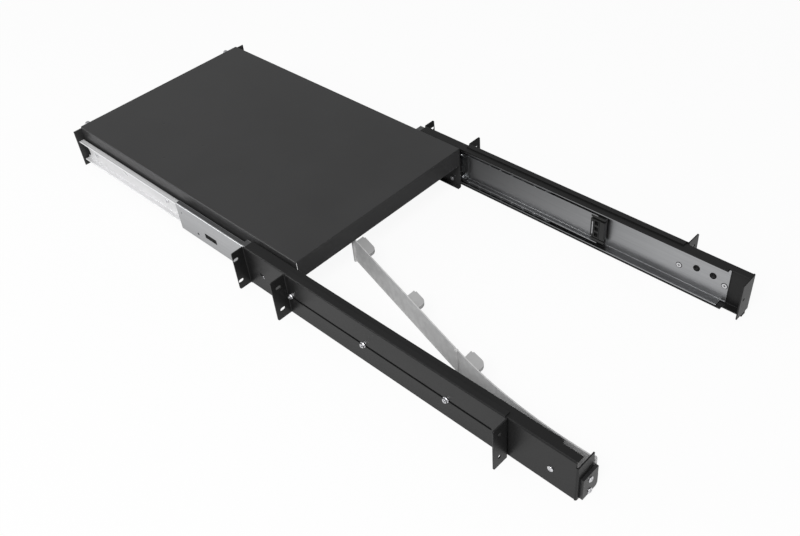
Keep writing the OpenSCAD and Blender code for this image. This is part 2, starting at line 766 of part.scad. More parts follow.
module shelf_tray() {
  inner = tray_bend - tray_wall;
  color([0.16, 0.16, 0.17]) difference() {
    union() {
      for (s = [-1, 1]) side(s) along_y(tray_y0, tray_y1 - side_wall_gap) tray_half();
      block([-tray_x + tray_bend, tray_y0, tray_top - tray_wall],
            [tray_x - tray_bend, tray_y1 - tray_bend, tray_top]);
      block([-tray_x + tray_bend, tray_y1 - tray_wall, tray_top - tray_rear_h],
            [tray_x - tray_bend, tray_y1, tray_top - tray_bend]);
      translate([-tray_x + tray_bend, tray_y1 - tray_bend, tray_top - tray_bend]) rotate([90, 0, 90])
        linear_extrude(2 * (tray_x - tray_bend)) bend_quarter(0, 0, 1, 1, tray_wall, inner);
      block([-tray_x + tray_bend, tray_y0, tray_top - tray_rear_h],
            [tray_x - tray_bend, tray_y0 + tray_wall, tray_top - tray_wall]);
    }
    for (s = [-1, 1]) side(s) tray_screw_holes(tray_x - tray_wall, tray_x);
    for (s = [-1, 1])
      translate([s * knob_span / 2, 0, tray_top - knob_drop])
        rod_y(knob_screw_d + 2 * seat_gap, tray_y0 - cut, tray_y0 + tray_wall + cut);
  }
}

module front_panel() {
  ear_top = tray_top - panel_ear_drop;
  color([0.15, 0.15, 0.16]) difference() {
    union() {
      block([-panel_w / 2, panel_y0, ear_top - panel_ear_h], [panel_w / 2, tray_y0, ear_top]);
      block([-panel_notch_x, panel_y0, ear_top - cut], [panel_notch_x, tray_y0, tray_top]);
    }
    for (s = [-1, 1])
      translate([s * knob_span / 2, 0, tray_top - knob_drop])
        rod_y(knob_screw_d + 2 * seat_gap, panel_y0 - cut, tray_y0 + cut);
  }
}

// Turned knobs: a narrow neck on the panel and a wider grip
module panel_knobs() {
  neck = knob_l * knob_neck;
  color([0.75, 0.76, 0.78]) for (s = [-1, 1])
    translate([s * knob_span / 2, 0, tray_top - knob_drop]) difference() {
      union() {
        rod_y(knob_d * knob_neck_d, panel_y0 - neck, panel_y0);
        rod_y(knob_d, panel_y0 - knob_l, panel_y0 - neck);
      }
      rod_y(knob_screw_d + 2 * seat_gap, panel_y0 - knob_l * knob_bore, panel_y0 + cut);
    }
}

module knob_screws() {
  inside = tray_y0 + tray_wall;
  color([0.75, 0.76, 0.78]) for (s = [-1, 1])
    translate([s * knob_span / 2, 0, tray_top - knob_drop]) {
      rod_y(knob_screw_d, panel_y0 - knob_l * knob_bore + seat_gap, inside);
      translate([0, inside, 0]) rotate([0, 0, 90]) head_x(head_d, head_h, 0);
    }
}

// Cable arm

// Puts a link's own frame at its pivot: along the link is +x, the strip's and clips' side is -y
module link_frame(pivot, angle) {
  translate([pivot[0], pivot[1], 0]) rotate([0, 0, -90 - angle]) children();
}

// Bored knuckle round a pivot with a slightly thinner neck that joins it to the
// strip, whose far face lies at y = -back
module knuckle(z0, z1, dir, back) {
  difference() {
    union() {
      rod_z(knuckle_d, z0, z1);
      block([min(0, dir * knuckle_neck), neck_inset - back, z0],
            [max(0, dir * knuckle_neck), arm_t - back - neck_inset, z1]);
    }
    rod_z(arm_pin_d + 2 * arm_pin_play, z0 - cut, z1 + cut);
  }
}

// Direction of the bowed strip at a distance ahead of the elbow, and its frame there
function bow_turn(back) = bow_angle - back / bow_r * 180 / PI;
module bow_frame(back) {
  turn = bow_turn(back);
  link_frame([bow_x + bow_r * cos(turn), bow_y - bow_r * sin(turn)], turn) children();
}

// Outline of the bowed strip from above, cut off ahead of the elbow's knuckle
module bow_outline() {
  end_y = bow_y - bow_r * sin(bow_turn(strip_start));
  intersection() {
    translate([bow_x, bow_y]) difference() {
      circle(r = bow_r + arm_t / 2, $fn = arc_fine);
      circle(r = bow_r - arm_t / 2, $fn = arc_fine);
    }
    translate([elbow[0] - bow_drop, end_y]) square([3 * bow_drop, bow_y - end_y]);
  }
}

module arm_rear_link() {
  color([0.7, 0.71, 0.72]) {
    translate([0, 0, arm_bottom]) linear_extrude(arm_h) {
      bow_outline();
      translate([hinge_x - arm_t / 2, bow_y]) square([arm_t, rear_straight_l - strip_start]);
    }
    link_frame([hinge_x, hinge_y], 0) knuckle(arm_middle + knuckle_gap / 2, arm_top, 1, arm_t / 2);
    link_frame(elbow, bow_angle) knuckle(arm_middle + knuckle_gap / 2, arm_top, -1, strip_back);
  }
}

// The strip lies beside the pivots' line, so that the folded links don't meet
module arm_front_link() {
  color([0.7, 0.71, 0.72]) link_frame(elbow, front_link_angle) {
    block([strip_start, -strip_back, arm_bottom], [front_link_l - strip_start, -arm_offset, arm_top]);
    knuckle(arm_bottom, arm_middle - knuckle_gap / 2, 1, strip_back);
    translate([front_link_l, 0, 0]) knuckle(arm_bottom, arm_top, -1, strip_back);
  }
}

// Pin pressed in the rear link's knuckle, running in the front link's one
module elbow_pin() {
  color([0.5, 0.5, 0.52]) translate([elbow[0], elbow[1], 0]) {
    rod_z(arm_pin_d, arm_bottom - pin_tip, arm_top);
    rod_z(pin_head_d, arm_top, arm_top + pin_head_t);
  }
}

// Outline of a clip from above, on a strip at y = 0, with a well rounded rear corner
module clip_outline(length, depth, r) {
  intersection() {
    translate([-length / 2, -depth]) square([length, depth]);
    union() {
      translate([-length / 2 + r, -depth]) square([length - r, depth]);
      translate([-length / 2, -depth + r]) square([length, depth - r]);
      translate([-length / 2 + r, -depth + r]) circle(r = r, $fn = fine);
    }
  }
}

// Rim along the outer edge of a clip
module clip_rim(length) {
  difference() {
    clip_outline(length, clip_deep, clip_corner);
    clip_outline(length - 2 * clip_t, clip_deep - clip_t, clip_corner - clip_t);
  }
}

// Clip for the cables: a back with an upper and a lower arm, whose rims leave an
// opening between them, and a beak at the upper arm's front corner
module cable_clip(length) {
  z1 = arm_top - clip_drop;
  z0 = arm_bottom + clip_lift;
  block([-length / 2, -clip_t, z0], [length / 2, 0, z1]);
  translate([0, 0, z1 - clip_t]) linear_extrude(clip_t) {
    clip_outline(length, clip_deep, clip_corner);
    polygon([[length / 2, 0], [length / 2 + clip_beak, clip_beak / 2 - clip_deep],
             [length / 2 - clip_beak / 2, clip_beak / 2 - clip_deep]]);
  }
  translate([0, 0, z1 - clip_rims[0]]) linear_extrude(clip_rims[0]) clip_rim(length);
  translate([0, 0, z0]) linear_extrude(clip_t) clip_outline(length, clip_deep, clip_corner);
  translate([0, 0, z0]) linear_extrude(clip_rims[1]) clip_rim(length);
}

module front_link_clips() {
  color([0.82, 0.82, 0.82]) link_frame(elbow, front_link_angle) {
    translate([front_clips[0], -strip_back, 0]) cable_clip(clip_l);
    translate([front_clips[1], -strip_back, 0]) cable_clip(long_clip_l);
  }
}

// The clip's straight back touches the hollow side of the bowed strip at its two ends
module rear_link_clip() {
  hollow = clip_l * clip_l / (8 * (bow_r - arm_t));
  color([0.82, 0.82, 0.82])
    bow_frame(rear_clip_back) translate([0, -arm_t / 2 - hollow, 0]) cable_clip(clip_l);
}

// Post under the tray above the front link's open pivot
module arm_tray_bracket() {
  under = tray_top - tray_wall;
  color([0.2, 0.2, 0.2]) translate([tray_pivot[0], tray_pivot[1], 0]) {
    rod_z(knuckle_d, arm_top + post_gap, under - post_plate_t);
    block([post_plate_low[0], post_plate_low[1], under - post_plate_t],
          [post_plate_high[0], post_plate_high[1], under]);
  }
}

// The plate's knuckle stands ahead of the plate, beside the channel's flange
module arm_hinge_plate() {
  y0 = rail_l;
  y1 = rail_l + hinge_plate_t;
  top = plate_bottom + hinge_plate_h;
  knuckle_low = plate_bottom + plate_r;
  knuckle_top = arm_middle - knuckle_gap / 2;
  color([0.1, 0.1, 0.1]) difference() {
    union() {
      block([plate_x, y0, knuckle_low], [plate_x + hinge_plate_w, y1, top]);
      block([plate_x + plate_r, y0, plate_bottom], [plate_x + hinge_plate_w, y1, top]);
      translate([plate_x + plate_r, 0, knuckle_low]) rod_y(2 * plate_r, y0, y1);
      block([hinge_x, hinge_y, knuckle_low], [hinge_x + knuckle_d / 2, y0, knuckle_top]);
      block([hinge_x + knuckle_d / 4, y0, knuckle_low], [plate_x + plate_r, y1, knuckle_top]);
      translate([hinge_x, hinge_y, 0]) rod_z(knuckle_d, knuckle_low, knuckle_top);
    }
    plate_screw_holes(y0, y1);
    translate([hinge_x, hinge_y, 0]) rod_z(arm_pin_d, knuckle_low - cut, knuckle_top + cut);
  }
}

// Pin held in the plate's knuckle, with a head above the rear link
module arm_hinge_pin() {
  head_z = arm_top + knuckle_gap;
  color([0.6, 0.6, 0.62]) translate([hinge_x, hinge_y, 0]) {
    rod_z(arm_pin_d, plate_bottom + plate_r, head_z);
    rod_z(pin_head_d, head_z, head_z + pin_head_t);
  }
}

module each_plate_screw() {
  for (i = [0:1]) translate([plate_screw_x, 0, plate_screw_z + i * plate_screw_pitch]) children();
}

module hinge_plate_screws() {
  y1 = rail_l + hinge_plate_t;
  color([0.82, 0.83, 0.85]) each_plate_screw() {
    rod_y(plate_screw_d, rail_l - sheet - nut_h - screw_tip, y1);
    translate([0, y1, 0]) rotate([0, 0, 90]) head_x(head_d, head_h, 0);
  }
}

module hinge_plate_nuts() {
  color([0.82, 0.83, 0.85]) each_plate_screw()
    translate([0, rail_l - sheet, 0]) rotate([0, 0, -90])
      nut_x(plate_nut_af, nut_h, plate_screw_d + nut_hole_play, 0);
}

channel_right();
channel_left();
adjustable_bracket_right();
adjustable_bracket_left();
bracket_studs_right();
bracket_studs_left();
bracket_washers_right();
bracket_washers_left();
bracket_nuts_right();
bracket_nuts_left();
cabinet_member_right();
cabinet_member_left();
slide_screws_right();
slide_screws_left();
intermediate_member_right();
intermediate_member_left();
stop_block_right();
stop_block_left();
outer_cage_right();
outer_cage_left();
outer_balls_right();
outer_balls_left();
inner_cage_right();
inner_cage_left();
inner_balls_right();
inner_balls_left();
tray_member_right();
tray_member_left();
tray_screws_right();
tray_screws_left();
tray_nuts_right();
tray_nuts_left();
shelf_tray();
front_panel();
panel_knobs();
knob_screws();
arm_tray_bracket();
arm_front_link();
front_link_clips();
arm_rear_link();
rear_link_clip();
elbow_pin();
arm_hinge_plate();
arm_hinge_pin();
hinge_plate_screws();
hinge_plate_nuts();
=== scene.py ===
import json
from math import radians

import bpy
from mathutils import Matrix, Vector
from mathutils.bvhtree import BVHTree


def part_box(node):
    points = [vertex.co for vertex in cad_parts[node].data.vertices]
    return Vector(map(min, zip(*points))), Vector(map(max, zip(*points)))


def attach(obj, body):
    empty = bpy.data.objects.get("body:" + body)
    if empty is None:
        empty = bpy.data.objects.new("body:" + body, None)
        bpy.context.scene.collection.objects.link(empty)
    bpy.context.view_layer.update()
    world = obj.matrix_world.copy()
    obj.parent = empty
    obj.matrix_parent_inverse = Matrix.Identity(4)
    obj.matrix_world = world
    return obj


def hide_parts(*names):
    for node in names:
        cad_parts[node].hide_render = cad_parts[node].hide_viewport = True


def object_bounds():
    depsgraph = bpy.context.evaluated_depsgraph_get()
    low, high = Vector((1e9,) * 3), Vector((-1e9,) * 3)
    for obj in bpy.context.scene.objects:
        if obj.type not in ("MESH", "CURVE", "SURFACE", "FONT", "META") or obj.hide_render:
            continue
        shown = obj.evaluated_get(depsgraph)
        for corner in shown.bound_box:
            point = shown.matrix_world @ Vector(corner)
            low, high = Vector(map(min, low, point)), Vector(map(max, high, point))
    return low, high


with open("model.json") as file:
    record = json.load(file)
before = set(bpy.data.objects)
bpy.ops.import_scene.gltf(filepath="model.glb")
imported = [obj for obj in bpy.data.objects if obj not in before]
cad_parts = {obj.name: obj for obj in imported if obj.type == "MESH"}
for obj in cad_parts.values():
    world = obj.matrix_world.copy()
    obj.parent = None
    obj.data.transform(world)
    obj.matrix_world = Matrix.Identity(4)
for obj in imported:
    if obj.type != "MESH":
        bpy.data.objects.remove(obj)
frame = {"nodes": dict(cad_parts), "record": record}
cad_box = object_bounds()
nodes = frame["nodes"]
body_of_node = {n: b for b, members in frame["record"]["behaviour"]["bodies"].items() for n in members}


# Rail channels
# Folded 2 mm sheet steel with a satin black powder coat. Each channel carries a slide,
# and its cut edges are broken by the coat, which pulls back from sharp corners.

merge_distance = 2e-6
flat_angle = radians(0.4)
sharp_angle = radians(42)
smooth_angle = radians(38)
coat_edge = 0.0002


def alone(piece):
    bpy.ops.object.select_all(action="DESELECT")
    piece.select_set(True)
    bpy.context.view_layer.objects.active = piece


def dressed_copy(name):
    """A CAD node's mesh as a new piece: merged, and with its flat faces made whole."""
    piece = bpy.data.objects.new(name + "_dressed", nodes[name].data.copy())
    bpy.context.scene.collection.objects.link(piece)
    alone(piece)
    bpy.ops.mesh.customdata_custom_splitnormals_clear()
    bpy.ops.object.mode_set(mode="EDIT")
    bpy.ops.mesh.select_mode(type="EDGE")
    bpy.ops.mesh.select_all(action="SELECT")
    bpy.ops.mesh.remove_doubles(threshold=merge_distance)
    bpy.ops.mesh.dissolve_limited(angle_limit=flat_angle)
    bpy.ops.object.mode_set(mode="OBJECT")
    return piece


def break_edges(piece, radius, segments=2):
    """Rounds every sharp edge of a piece a little, as a coat or a tumbling drum does."""
    if radius == 0:
        return
    piece.data.calc_loop_triangles()
    surface = BVHTree.FromPolygons([v.co.copy() for v in piece.data.vertices],
                                   [tuple(t.vertices) for t in piece.data.loop_triangles])
    alone(piece)
    bpy.ops.object.mode_set(mode="EDIT")
    bpy.ops.mesh.select_mode(type="EDGE")
    bpy.ops.mesh.select_all(action="DESELECT")
    bpy.ops.mesh.edges_select_sharp(sharpness=sharp_angle)
    bpy.ops.mesh.bevel(offset=radius, segments=segments, affect="EDGES", clamp_overlap=False)
    bpy.ops.object.mode_set(mode="OBJECT")
    # A bevel that overruns a short edge throws points out, so they go back to the surface.
    for vertex in piece.data.vertices:
        point, _, _, distance = surface.find_nearest(vertex.co)
        if distance > radius:
            vertex.co = point
    bpy.ops.object.shade_smooth_by_angle(angle=smooth_angle)
    weighted = piece.modifiers.new("weighted", "WEIGHTED_NORMAL")
    weighted.keep_sharp = True
    weighted.weight = 100
    bpy.ops.object.modifier_apply(modifier=weighted.name)


def finish(piece, name, material):
    """The piece takes a CAD node's place and gets its finish."""
    piece.data.materials.clear()
    piece.data.materials.append(material)
    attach(piece, body_of_node[name])
    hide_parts(name)


def dress(name, material, radius):
    piece = dressed_copy(name)
    break_edges(piece, radius)
    finish(piece, name, material)
    return piece


def both(name):
    return name + "_right", name + "_left"


def material_tree(name):
    material = bpy.data.materials.new(name)
    material.use_nodes = True
    tree = material.node_tree
    return material, tree, tree.nodes["Principled BSDF"]


def object_noise(tree, scale, detail, stretch=(1, 1, 1)):
    place = tree.nodes.new("ShaderNodeTexCoord")
    mapping = tree.nodes.new("ShaderNodeMapping")
    mapping.inputs["Scale"].default_value = stretch
    noise = tree.nodes.new("ShaderNodeTexNoise")
    noise.inputs["Scale"].default_value = scale
    noise.inputs["Detail"].default_value = detail
    tree.links.new(place.outputs["Object"], mapping.inputs["Vector"])
    tree.links.new(mapping.outputs["Vector"], noise.inputs["Vector"])
    return noise.outputs["Fac"]


def ramp(tree, value, low, high, dark, light):
    node = tree.nodes.new("ShaderNodeMapRange")
    node.inputs["From Min"].default_value = low
    node.inputs["From Max"].default_value = high
    node.inputs["To Min"].default_value = dark
    node.inputs["To Max"].default_value = light
    tree.links.new(value, node.inputs["Value"])
    return node.outputs["Result"]


def two_colours(tree, value, first, second):
    mix = tree.nodes.new("ShaderNodeMix")
    mix.data_type = "RGBA"
    mix.inputs["A"].default_value = (*first, 1)
    mix.inputs["B"].default_value = (*second, 1)
    tree.links.new(value, mix.inputs["Factor"])
    return mix.outputs["Result"]


def bump(tree, shader, value, strength, distance):
    node = tree.nodes.new("ShaderNodeBump")
    node.inputs["Strength"].default_value = strength
    node.inputs["Distance"].default_value = distance
    tree.links.new(value, node.inputs["Height"])
    tree.links.new(node.outputs["Normal"], shader.inputs["Normal"])


def shade(colour, factor):
    return tuple(c * factor for c in colour)


def powder_coat(name, colour, roughness, specular, coat=0):
    material, tree, shader = material_tree(name)
    cloud = object_noise(tree, 9, 4)
    grain = object_noise(tree, 1400, 2)
    tree.links.new(two_colours(tree, ramp(tree, cloud, 0.35, 0.65, 0, 1), shade(colour, 0.94),
                               shade(colour, 1.06)), shader.inputs["Base Color"])
    tree.links.new(ramp(tree, cloud, 0.3, 0.7, roughness - 0.03, roughness + 0.03),
                   shader.inputs["Roughness"])
    shader.inputs["Specular IOR Level"].default_value = specular
    shader.inputs["Coat Weight"].default_value = coat
    shader.inputs["Coat Roughness"].default_value = 0.3
    bump(tree, shader, grain, 0.25, 0.0002)
    return material


channel_paint = powder_coat("channel_paint", (0.011, 0.011, 0.0112), 0.38, 0.25)
for name in both("channel"):
    dress(name, channel_paint, coat_edge)


# Adjustable brackets
# The same folded and coated sheet, with a long slot for the studs and ears for the
# rack's middle and rear posts.

bracket_paint = powder_coat("bracket_paint", (0.012, 0.012, 0.0122), 0.38, 0.25)
for name in both("adjustable_bracket"):
    dress(name, bracket_paint, coat_edge)


# Studs, washers and nuts
# Zinc-plated fasteners that clamp the brackets to the channels. The studs' thread is
# rolled, and shows where it stands out of the nuts.

steel_edge = 0.00025
wave_length = 0.314


def bright_steel(name, colour, roughness):
    material, tree, shader = material_tree(name)
    cloud = object_noise(tree, 300, 2)
    tree.links.new(two_colours(tree, ramp(tree, cloud, 0.3, 0.7, 0, 1), shade(colour, 0.85), colour),
                   shader.inputs["Base Color"])
    tree.links.new(ramp(tree, cloud, 0.3, 0.7, roughness - 0.06, roughness + 0.06),
                   shader.inputs["Roughness"])
    shader.inputs["Metallic"].default_value = 1
    return material


def threaded_steel(name, colour, pitch):
    """Rings along X, darkened in their grooves as painted shade. A wave texture of scale 1 repeats
    every `wave_length`.
    """
    material, tree, shader = material_tree(name)
    place = tree.nodes.new("ShaderNodeTexCoord")
    wave = tree.nodes.new("ShaderNodeTexWave")
    wave.bands_direction = "X"
    wave.inputs["Scale"].default_value = wave_length / pitch
    tree.links.new(place.outputs["Object"], wave.inputs["Vector"])
    tree.links.new(two_colours(tree, wave.outputs["Fac"], shade(colour, 0.45), colour),
                   shader.inputs["Base Color"])
    shader.inputs["Metallic"].default_value = 1
    shader.inputs["Roughness"].default_value = 0.3
    bump(tree, shader, wave.outputs["Fac"], 0.8, 0.0004)
    return material


zinc = bright_steel("zinc", (0.80, 0.80, 0.82), 0.26)
thread = threaded_steel("rolled_thread", (0.78, 0.78, 0.80), 0.0007)
for name in both("bracket_studs"):
    dress(name, thread, steel_edge)
for name in both("bracket_washers") + both("bracket_nuts") + both("tray_nuts"):
    dress(name, zinc, steel_edge)
dress("hinge_plate_nuts", zinc, steel_edge)


# Slides
# Cold-rolled steel members, zinc plated, with the rolling marks running along them, and pressed ball
# cages between them. Their lips carry painted shade with a painted highlight line along the edge, and
# the rear end of each tray member is painted black as painted shade.

sheet = 0.0018
cabinet_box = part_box("cabinet_member_right")
middle_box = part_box("intermediate_member_right")
tray_member_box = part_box("tray_member_right")
cabinet_edge = cabinet_box[0][0]
cabinet_web = cabinet_box[1][0] - sheet
middle_edge = middle_box[0][0]
middle_web = middle_box[1][0] - sheet
tray_member_pad = 0.0018
tray_member_web = tray_member_box[0][0] + tray_member_pad + sheet
tray_member_edge = tray_member_box[1][0]
# Where the painted shade on the slide lips starts, and the width of the painted highlight line along
# their edges.
lip_shade_start = 0.0008
edge_highlight_width = 0.0012
blend_width = 0.0003


def rolled_steel(name, colour, roughness, metallic, web, edge, lip_shade):
    """Rolled strip, whose lips run in |x| from `web` to `edge`; the lips are darkened by the shade
    factor as painted shade, and a band along their edge keeps the full colour as a painted highlight
    line.
    """
    material, tree, shader = material_tree(name)
    streaks = object_noise(tree, 60, 4, (8, 0.12, 8))
    cloud = object_noise(tree, 25, 3)
    strip = two_colours(tree, ramp(tree, streaks, 0.3, 0.7, 0, 1), shade(colour, 0.9), colour)
    place = tree.nodes.new("ShaderNodeTexCoord")
    split = tree.nodes.new("ShaderNodeSeparateXYZ")
    tree.links.new(place.outputs["Object"], split.inputs["Vector"])
    across = tree.nodes.new("ShaderNodeMath")
    across.operation = "ABSOLUTE"
    tree.links.new(split.outputs["X"], across.inputs[0])
    outward = 1 if edge > web else -1
    # First the lips are darkened as painted shade, then the band along their edge goes back to full
    # colour as a painted highlight line.
    for start, tone in ((web + outward * lip_shade_start, shade(colour, lip_shade)),
                        (edge - outward * edge_highlight_width, colour)):
        band = tree.nodes.new("ShaderNodeMix")
        band.data_type = "RGBA"
        band.inputs["B"].default_value = (*tone, 1)
        tree.links.new(strip, band.inputs["A"])
        tree.links.new(ramp(tree, across.outputs["Value"], start, start + outward * blend_width, 0, 1),
                       band.inputs["Factor"])
        strip = band.outputs["Result"]
    tree.links.new(strip, shader.inputs["Base Color"])
    tree.links.new(ramp(tree, cloud, 0.3, 0.7, roughness - 0.03, roughness + 0.03),
                   shader.inputs["Roughness"])
    shader.inputs["Metallic"].default_value = metallic
    bump(tree, shader, streaks, 0.05, 0.0002)
    return material


def dull_plastic(name, dark, light, roughness, specular):
    material, tree, shader = material_tree(name)
    cloud = object_noise(tree, 60, 3)
    tree.links.new(two_colours(tree, cloud, dark, light), shader.inputs["Base Color"])
    shader.inputs["Roughness"].default_value = roughness
    shader.inputs["Specular IOR Level"].default_value = specular
    return material


# Near-black colour used as painted shade on the rear ends of the tray members.
painted_end_shade = dull_plastic("painted_end_shade", (0.008, 0.008, 0.008), (0.014, 0.014, 0.014), 0.5, 0.2)
# The last argument is how light the painted shade leaves each member's lips.
cabinet_steel = rolled_steel("cabinet_member_steel", (0.46, 0.465, 0.475), 0.34, 1,
                             cabinet_web, cabinet_edge, 0.4)
middle_steel = rolled_steel("intermediate_member_steel", (0.48, 0.485, 0.495), 0.34, 1,
                            middle_web, middle_edge, 0.4)
tray_member_steel = rolled_steel("tray_member_steel", (0.93, 0.93, 0.94), 0.3, 0.3,
                                 tray_member_web, tray_member_edge, 0.75)
cage_steel = bright_steel("cage_steel", (0.42, 0.43, 0.44), 0.4)
ball_steel = bright_steel("ball_steel", (0.85, 0.86, 0.88), 0.1)
for name in both("cabinet_member"):
    dress(name, cabinet_steel, steel_edge)
for name in both("intermediate_member"):
    dress(name, middle_steel, steel_edge)
# Each tray member is painted near black past this plane, as painted shade at its rear end.
shaded_end_y = 0.094
for name in both("tray_member"):
    piece = dress(name, tray_member_steel, steel_edge)
    alone(piece)
    bpy.ops.object.mode_set(mode="EDIT")
    bpy.ops.mesh.select_all(action="SELECT")
    bpy.ops.mesh.bisect(plane_co=(0, shaded_end_y, 0), plane_no=(0, 1, 0))
    bpy.ops.object.mode_set(mode="OBJECT")
    piece.data.materials.append(painted_end_shade)
    for face in piece.data.polygons:
        face.material_index = int(face.center[1] > shaded_end_y)
for name in both("outer_cage") + both("inner_cage"):
    dress(name, cage_steel, 0)
for name in both("outer_balls") + both("inner_balls"):
    nodes[name].data.materials.clear()
    nodes[name].data.materials.append(ball_steel)


# Screws
# Zinc-plated pan heads with a cross recess, punched into the head when it is formed.
# They hold the slides, the tray, the hinge plate and the knobs.

cross_width = 0.0009
cross_arm = 0.0018
cross_depth = 0.0011
least_head_area = 5e-6


def cross_cutter(place, axis, depth):
    """A cross to take out of a head: a small block whose four sides are drawn out."""
    bpy.ops.object.select_all(action="DESELECT")
    bpy.ops.mesh.primitive_cube_add(size=cross_width, location=place)
    cutter = bpy.context.object
    bpy.ops.object.mode_set(mode="EDIT")
    bpy.ops.mesh.select_mode(type="FACE")
    bpy.ops.object.mode_set(mode="OBJECT")
    for face in cutter.data.polygons:
        face.select = abs(face.normal[axis]) < 0.5
    bpy.ops.object.mode_set(mode="EDIT")
    bpy.ops.mesh.extrude_faces_move(TRANSFORM_OT_shrink_fatten={"value": cross_arm})
    bpy.ops.mesh.select_all(action="SELECT")
    bpy.ops.mesh.normals_make_consistent(inside=False)
    bpy.ops.object.mode_set(mode="OBJECT")
    long = [1, 1, 1]
    long[axis] = 2 * depth / cross_width
    cutter.scale = long
    bpy.ops.object.transform_apply(location=True, rotation=True, scale=True)
    return cutter


def cut_away(piece, cutter):
    modifier = piece.modifiers.new("cut", "BOOLEAN")
    modifier.operation = "DIFFERENCE"
    modifier.object = cutter
    modifier.solver = "EXACT"
    alone(piece)
    bpy.ops.object.modifier_apply(modifier=modifier.name)
    bpy.data.objects.remove(cutter)


def crossed(name, axis, sign):
    """Dresses a node of screws and punches a cross into each head that faces one way.

    Faces less than about a centimetre apart belong to one screw, and its outermost is the head.
    """
    piece = dressed_copy(name)
    tops = [f for f in piece.data.polygons if f.normal[axis] * sign > 0.99 and f.area > least_head_area]
    outer = {}
    for face in tops:
        key = tuple(round(face.center[i], 2) for i in range(3) if i != axis)
        if key not in outer or face.center[axis] * sign > outer[key][axis] * sign:
            outer[key] = face.center.copy()
    for place in outer.values():
        cut_away(piece, cross_cutter(place, axis, cross_depth))
    break_edges(piece, coat_edge)
    finish(piece, name, zinc)


for name in ("slide_screws", "tray_screws"):
    crossed(name + "_right", 0, 1)
    crossed(name + "_left", 0, -1)
crossed("hinge_plate_screws", 1, 1)
crossed("knob_screws", 1, 1)


# Stop blocks
# Moulded black plastic, set in the rear ends of the intermediate members, with
# three windows between two grooves and a thin steel strip in a slot beside them.

def plastic(name, colour, roughness):
    material, tree, shader = material_tree(name)
    cloud = object_noise(tree, 40, 3)
    grain = object_noise(tree, 2500, 1)
    tree.links.new(two_colours(tree, ramp(tree, cloud, 0.3, 0.7, 0, 1), shade(colour, 0.92), colour),
                   shader.inputs["Base Color"])
    shader.inputs["Roughness"].default_value = roughness
    bump(tree, shader, grain, 0.15, 0.0001)
    return material


def side_block(low, high):
    """A block between two corners, as a start for a piece or a cutter."""
    bpy.ops.object.select_all(action="DESELECT")
    middle = [(a + b) / 2 for a, b in zip(low, high)]
    bpy.ops.mesh.primitive_cube_add(size=1, location=middle)
    block = bpy.context.object
    block.scale = [abs(b - a) for a, b in zip(low, high)]
    bpy.ops.object.transform_apply(location=True, rotation=True, scale=True)
    return block


stop_plastic = plastic("stop_plastic", (0.012, 0.012, 0.012), 0.4)
stop_face = middle_edge
before_face = 0.001
window_y = (0.3795, 0.3865)
window_z = (-0.0118, 0, 0.0118)
window_half = 0.0042
window_depth = 0.005
groove_y = (0.3773, 0.3879)
groove_width = 0.0008
groove_half = 0.0185
strip_y = (0.3745, 0.3763)
strip_half = 0.0125
strip_below = 0.0002
slot_depth = 0.0012


def stop_recess(side, y, z, half, depth):
    """A block that reaches from before the stop block's face to a depth behind it."""
    return side_block((side * (stop_face - before_face), y[0], z - half),
                      (side * (stop_face + depth), y[1], z + half))


for name, side in (("stop_block_right", 1), ("stop_block_left", -1)):
    piece = dressed_copy(name)
    for z in window_z:
        cut_away(piece, stop_recess(side, window_y, z, window_half, window_depth))
    for y in groove_y:
        cut_away(piece, stop_recess(side, (y, y + groove_width), 0, groove_half, slot_depth))
    cut_away(piece, stop_recess(side, strip_y, 0, strip_half, slot_depth))
    break_edges(piece, 0.0003)
    finish(piece, name, stop_plastic)
    strip = side_block((side * (stop_face + strip_below), strip_y[0], -strip_half),
                       (side * (stop_face + slot_depth), strip_y[1], strip_half))
    strip.name = "stop_strip_right" if side > 0 else "stop_strip_left"
    break_edges(strip, 0.0001)
    strip.data.materials.append(zinc)
    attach(strip, body_of_node[name])


# Latch levers
# A moulded lever stands in the window of each intermediate member, on a thin leaf
# behind the member's web.

# Near-black plastic for the levers, also used as painted shade on the thread collars and on the thin
# discs round the screw faces.
dark_plastic_and_painted_shade = dull_plastic("dark_plastic_and_painted_shade", (0.006, 0.006, 0.006), (0.012, 0.012, 0.012), 0.7, 0.08)
leaf_outer = middle_web - 0.00008
leaf_thickness = 0.0004
leaf_y = (-0.126, -0.088)
leaf_z = (-0.013, 0)
pad_margin = 0.0035
pad_height = 0.0013
pad_rim = 0.0008
pad_hollow = 0.0009
for side, end in ((1, "right"), (-1, "left")):
    lever = side_block((side * (leaf_outer - leaf_thickness), leaf_y[0], leaf_z[0]),
                       (side * leaf_outer, leaf_y[1], leaf_z[1]))
    for face in lever.data.polygons:
        face.select = face.normal[0] * side > 0.9
    bpy.ops.object.mode_set(mode="EDIT")
    bpy.ops.mesh.select_mode(type="FACE")
    bpy.ops.mesh.inset(thickness=pad_margin)
    bpy.ops.mesh.extrude_region_move(TRANSFORM_OT_translate={"value": (side * pad_height, 0, 0)})
    bpy.ops.mesh.inset(thickness=pad_rim)
    bpy.ops.mesh.extrude_region_move(TRANSFORM_OT_translate={"value": (side * -pad_hollow, 0, 0)})
    bpy.ops.mesh.select_all(action="SELECT")
    bpy.ops.mesh.normals_make_consistent(inside=False)
    bpy.ops.object.mode_set(mode="OBJECT")
    lever.name = "latch_lever_" + end
    break_edges(lever, 0.0001)
    lever.data.materials.append(dark_plastic_and_painted_shade)
    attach(lever, body_of_node["intermediate_member_" + end])


# Thread collars and screw faces
# Collars are drawn up round two holes near the fixed member's rear end, and the screws that hold it
# show their crossed faces in its web. The collars, and a thin disc round each screw face, are near
# black as painted shade.

